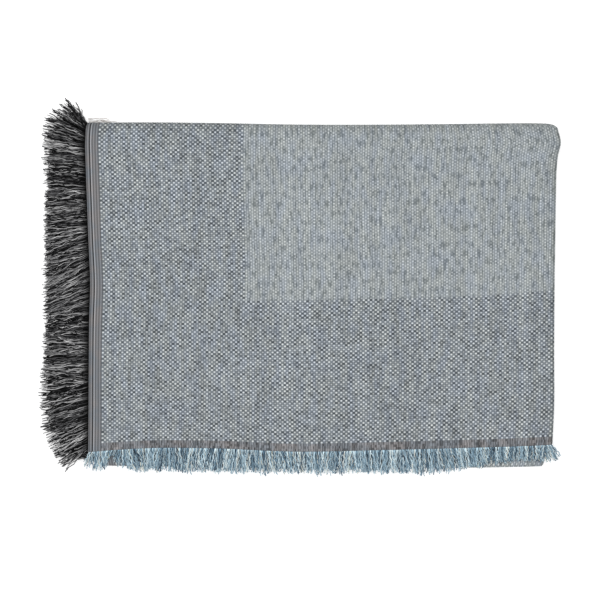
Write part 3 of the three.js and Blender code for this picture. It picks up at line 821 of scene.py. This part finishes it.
thread_tubes = strand_tubes(
    thread_roots,
    thread_direction,
    thread_reach,
    thread_roots[:, 2] - 1.2 * THREAD_RADIUS,
    THREAD_RADIUS,
    0.5 * MM,
    dice.uniform(0, 6, thread_count),
    dice,
)
threads = fringe_piece("corner_threads", thread_tubes, dice.uniform(0, 1, thread_count))
threads.data.materials.append(cream)
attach(threads, "root")


# The end fringes are the loose warp ends past the heading: short blue yarn from navy to light
# blue-grey with a few cream and greenish ends, trimmed to one length. One lies on top at the front,
# and the other on the layer just under it.
END_STRAND_PITCH = 1.3 * MM
END_STRAND_RADIUS = 0.76 * MM
END_LOCK_WIDTH = 8 * MM
END_SAG = 0.42
END_BED = STACK_MIDDLE - TIGHT_RADIUS + DOUBLED / 2

blue, blue_surface = matt_yarn("blue_mixed_yarn", 0.85, 0.1)
along = Signal.add(blue, "Attribute", {"attribute_name": "along"}, output=2)
tone = Signal.add(blue, "Attribute", {"attribute_name": "tone"}, output=2)
BLUE_STOPS = [
    (0.0, paint(58, 84, 106)),
    (0.22, paint(134, 165, 184)),
    (0.5, paint(196, 220, 231)),
    (0.8, paint(234, 247, 250)),
    (0.93, paint(248, 247, 238)),
    (1.0, paint(206, 217, 206)),
]
blue_colour = Signal.add(blue, "ValToRGB", {"stops": BLUE_STOPS}, {0: tone})
strand_place = Signal.add(blue, "CombineXYZ", None, {0: along * 4, 1: tone * 311})
root_light = 1 + 0.35 * (1 - along * 7).most(0)
blue_shade = (0.5 + 0.98 * clouds(blue, strand_place, 1.0)) * root_light
finish_with(blue, blue_surface, "Base Color", shaded(blue, blue_colour, blue_shade))

for end, end_b, seed in (("upper", 0.0, 21), ("lower", CLOTH_LENGTH, 22)):
    dice = np.random.default_rng(seed)
    strand_a = spread(1.5 * MM, CLOTH_WIDTH - 1.5 * MM, END_STRAND_PITCH)
    count = len(strand_a)
    strand_a = np.clip(strand_a + dice.normal(0, 0.4 * MM, count), 0, CLOTH_WIDTH)
    roots = cloth_place(strand_a, np.full(count, end_b), np.zeros(count))
    lock, lock_middles = locks_along(strand_a, END_LOCK_WIDTH, dice)
    lock_lean = dice.normal(0, 9, len(lock_middles))
    lock_reach = dice.normal(1.0, 0.06, len(lock_middles))
    lock_tone = dice.normal(0, 0.045, len(lock_middles))
    lock_phase = dice.uniform(0, 2 * math.pi, len(lock_middles))
    sheet_x = roots[:, 0] - STACK_X
    gathering = np.degrees((lock_middles[lock] - strand_a) / (32 * MM))
    gathering = gathering * np.where(strand_a < FOLDED_WIDTH, 1, -1)
    lean = smooth(LINES.x * MM, LINES.lean.astype(float), sheet_x) + lock_lean[lock]
    lean = np.radians(lean + dice.normal(0, 6, count) + 0.6 * gathering)
    reach = smooth(LINES.x * MM, LINES.reach * MM, sheet_x) * lock_reach[lock]
    reach = reach * dice.triangular(0.7, 0.98, 1.06, count)
    direction = np.stack([np.sin(lean), -np.cos(lean)], axis=-1)
    drop = np.maximum(roots[:, 2] - END_BED, 0) * END_SAG
    phases = lock_phase[lock] + dice.normal(0, 1.7, count)
    tubes = strand_tubes(roots, direction, reach, drop, END_STRAND_RADIUS, 0.95 * MM, phases, dice)
    tones = np.clip(dice.beta(1.15, 1.5, count) + lock_tone[lock], 0, 1)
    fringe = fringe_piece("blue_fringe_" + end, tubes, tones)
    fringe.data.materials.append(blue)
    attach(fringe, "root")
    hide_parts("end_fringe_" + end)


# The floor is a plain white studio surface under soft even light, and the camera looks straight down
# on the folded throw from high up.
FLOOR_SIZE = 12.0
FLOOR_HEIGHT = -0.2 * MM
floor_material = bpy.data.materials.new("white_studio_floor")
floor_material.use_nodes = True
floor_surface = floor_material.node_tree.nodes["Principled BSDF"]
floor_surface.inputs["Base Color"].default_value = (0.9, 0.9, 0.9, 1)
floor_surface.inputs["Roughness"].default_value = 0.9
floor_surface.inputs["Emission Color"].default_value = (1, 1, 1, 1)
floor_surface.inputs["Emission Strength"].default_value = 0.42
floor_corners = np.array([[-1, -1, 0], [1, -1, 0], [1, 1, 0], [-1, 1, 0]]) * FLOOR_SIZE / 2
floor = mesh_piece("floor", floor_corners + [0, 0, FLOOR_HEIGHT], [(0, 1, 2, 3)])
floor.data.materials.append(floor_material)

world = bpy.data.worlds.new("studio")
world.use_nodes = True
world.node_tree.nodes["Background"].inputs["Color"].default_value = (1, 1, 1, 1)
world.node_tree.nodes["Background"].inputs["Strength"].default_value = 0.42
bpy.context.scene.world = world
lamp = bpy.data.lights.new("softbox", "AREA")
lamp.shape = "SQUARE"
lamp.size = 2.6
lamp.energy = 48
softbox = bpy.data.objects.new("softbox", lamp)
softbox.location = (-0.15, 0.2, 2.4)
softbox.rotation_euler = (math.radians(-5), math.radians(-4), 0)
bpy.context.collection.objects.link(softbox)

VIEW_WIDTH = 898.2 * MM
VIEW_MIDDLE = (STACK_X - 32.7 * MM, STACK_Y - 20.6 * MM)
CAMERA_HEIGHT = 3.0
camera_data = bpy.data.cameras.new("camera")
camera_data.sensor_width = 36
camera_data.lens = 36 * CAMERA_HEIGHT / VIEW_WIDTH
camera = bpy.data.objects.new("camera", camera_data)
camera.location = (*VIEW_MIDDLE, CAMERA_HEIGHT + STACK_MIDDLE + WIDE_RADIUS + DOUBLED / 2)
bpy.context.collection.objects.link(camera)
bpy.context.scene.camera = camera
bpy.context.scene.view_settings.view_transform = "Standard"
